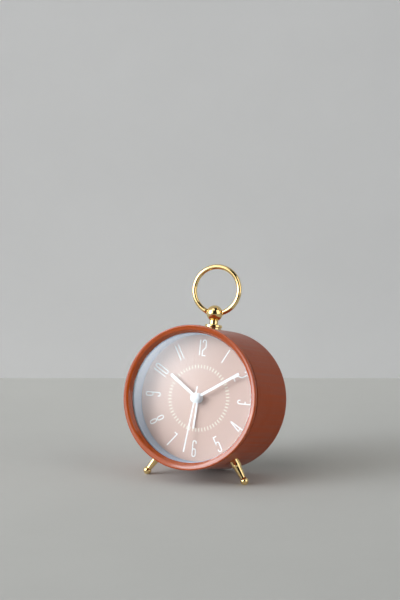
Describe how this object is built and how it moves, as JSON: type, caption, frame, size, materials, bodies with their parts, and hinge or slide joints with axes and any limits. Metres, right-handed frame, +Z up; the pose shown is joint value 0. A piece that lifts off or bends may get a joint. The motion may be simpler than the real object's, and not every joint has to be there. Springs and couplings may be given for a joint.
{
  "type": "table alarm clock",
  "caption": "Round drum table alarm clock on two splayed brass legs, with a ring handle, recessed back, setting knobs, battery door and a geared quartz movement.",
  "frame": {"origin": "centre of the bounding box on the surface that the clock stands on", "axes": "+Z up; the dial faces -Y and leans back by about 12.5 degrees; +X is to the right of someone facing the dial"},
  "size_m": [0.095, 0.074, 0.1386],
  "materials": {
    "rust_paint": "satin",
    "rust_bezel": "gloss",
    "clear_glass": "polished",
    "black_rubber": "matte",
    "pale_wall": "satin",
    "blush_dial": "matte",
    "white_hand": "satin white",
    "grey_plastic": "matte",
    "black_plastic": "matte",
    "black_knob": "satin",
    "polished_brass": "polished",
    "zinc_screw": "zinc plated",
    "movement_case": "matte",
    "train_plate": "matte",
    "white_gear": "satin",
    "steel_arbor": "turned",
    "rotor_magnet": "sintered",
    "motor_iron": "laminated",
    "bobbin": "satin",
    "copper_wire": "enamelled",
    "board_green": "satin",
    "buzzer_black": "matte",
    "contact_metal": "nickel plated",
    "battery_jacket": "plain jacket",
    "ivory_slider": "satin"
  },
  "bodies": {
    "case": {"case_drum": "rust_paint", "front_bezel": "rust_bezel", "lens": "clear_glass", "lens_gasket": "black_rubber", "dial_spacer": "pale_wall", "dial": "blush_dial", "movement_frame": "grey_plastic", "back_cover": "black_plastic", "cover_screws": "zinc_screw", "handle_stem": "polished_brass", "handle_washer": "polished_brass", "handle_screw": "zinc_screw", "left_leg": "polished_brass", "right_leg": "polished_brass", "leg_screws": "zinc_screw", "movement_front": "movement_case", "movement_rear": "movement_case", "movement_screws": "zinc_screw", "middle_plate": "train_plate", "train_bridge": "train_plate", "train_screws": "zinc_screw", "stator": "motor_iron", "coil_core": "motor_iron", "coil_bobbin": "bobbin", "coil_winding": "copper_wire", "circuit_board": "board_green", "quartz_crystal": "contact_metal", "buzzer": "buzzer_black", "alarm_contact": "contact_metal", "battery": "battery_jacket", "positive_contact": "contact_metal", "negative_contact": "contact_metal"},
    "minute_shaft": {"minute_arbor": "steel_arbor", "minute_hand": "white_hand", "clutch_spring": "steel_arbor"},
    "hour_shaft": {"hour_wheel": "white_gear", "hour_hand": "white_hand"},
    "minute_gear": {"minute_wheel": "white_gear"},
    "time_knob": {"time_set_arbor": "steel_arbor", "time_set_knob": "black_knob"},
    "second_shaft": {"second_wheel": "white_gear", "second_hand": "white_hand", "centre_cap": "white_hand"},
    "third_gear": {"third_wheel": "white_gear"},
    "centre_gear": {"centre_wheel": "white_gear"},
    "intermediate_gear": {"intermediate_wheel": "white_gear"},
    "motor_rotor": {"rotor": "rotor_magnet"},
    "alarm_shaft": {"alarm_wheel": "white_gear", "alarm_hand": "white_hand"},
    "alarm_knob": {"alarm_set_arbor": "steel_arbor", "alarm_set_knob": "black_knob"},
    "switch_slider": {"alarm_switch": "ivory_slider"},
    "door": {"battery_door": "black_plastic"},
    "ring": {"handle_ring": "polished_brass"}
  },
  "joints": [
    {"name": "minute_turn", "type": "hinge", "parent": "case", "child": "minute_shaft", "pos_m": [0, 0.0003, 0.0512], "axis": [0, 0.9764, -0.2159], "continuous": true},
    {"name": "hour_turn", "type": "hinge", "parent": "case", "child": "hour_shaft", "pos_m": [0, 0.0003, 0.0512], "axis": [0, 0.9764, -0.2159], "continuous": true},
    {"name": "minute_wheel_turn", "type": "hinge", "parent": "case", "child": "minute_gear", "pos_m": [0.0072, 0.0003, 0.0512], "axis": [0, 0.9764, -0.2159], "continuous": true},
    {"name": "time_knob_turn", "type": "hinge", "parent": "case", "child": "time_knob", "pos_m": [0.0144, 0.0003, 0.0512], "axis": [0, 0.9764, -0.2159], "continuous": true},
    {"name": "second_turn", "type": "hinge", "parent": "case", "child": "second_shaft", "pos_m": [0, 0.0003, 0.0512], "axis": [0, 0.9764, -0.2159], "continuous": true},
    {"name": "third_wheel_turn", "type": "hinge", "parent": "case", "child": "third_gear", "pos_m": [0.0045, 0.00199, 0.05881], "axis": [0, 0.9764, -0.2159], "continuous": true},
    {"name": "centre_wheel_turn", "type": "hinge", "parent": "case", "child": "centre_gear", "pos_m": [0, 0.0003, 0.0512], "axis": [0, 0.9764, -0.2159], "continuous": true},
    {"name": "intermediate_turn", "type": "hinge", "parent": "case", "child": "intermediate_gear", "pos_m": [-0.00624, 0.00108, 0.05472], "axis": [0, 0.9764, -0.2159], "continuous": true},
    {"name": "rotor_turn", "type": "hinge", "parent": "case", "child": "motor_rotor", "pos_m": [-0.00974, 0.00239, 0.06063], "axis": [0, 0.9764, -0.2159], "continuous": true},
    {"name": "alarm_turn", "type": "hinge", "parent": "case", "child": "alarm_shaft", "pos_m": [0, 0.0003, 0.0512], "axis": [0, 0.9764, -0.2159], "continuous": true},
    {"name": "alarm_knob_turn", "type": "hinge", "parent": "case", "child": "alarm_knob", "pos_m": [-0.0144, 0.0003, 0.0512], "axis": [0, 0.9764, -0.2159], "continuous": true},
    {"name": "alarm_switch_slide", "type": "slide", "parent": "case", "child": "switch_slider", "axis": [1, 0, 0], "range_m": [0, 0.005]},
    {"name": "battery_door_hinge", "type": "hinge", "parent": "case", "child": "door", "pos_m": [0, 0.00647, 0.02024], "axis": [-1, 0, 0], "range_deg": [0, 100]},
    {"name": "ring_swing", "type": "hinge", "parent": "case", "child": "ring", "pos_m": [0, 0.01408, 0.10653], "axis": [0.9945, 0.1021, -0.0226], "range_deg": [-100, 100]}
  ],
  "couplings": [
    {"joint": "hour_turn", "follows": "minute_turn", "ratio": 0.083333},
    {"joint": "minute_wheel_turn", "follows": "minute_turn", "ratio": -0.33333},
    {"joint": "time_knob_turn", "follows": "minute_turn", "ratio": 1},
    {"joint": "third_wheel_turn", "follows": "second_turn", "ratio": -0.13333},
    {"joint": "centre_wheel_turn", "follows": "second_turn", "ratio": 0.016667},
    {"joint": "intermediate_turn", "follows": "second_turn", "ratio": -5},
    {"joint": "rotor_turn", "follows": "second_turn", "ratio": 30},
    {"joint": "alarm_knob_turn", "follows": "alarm_turn", "ratio": -3}
  ]
}
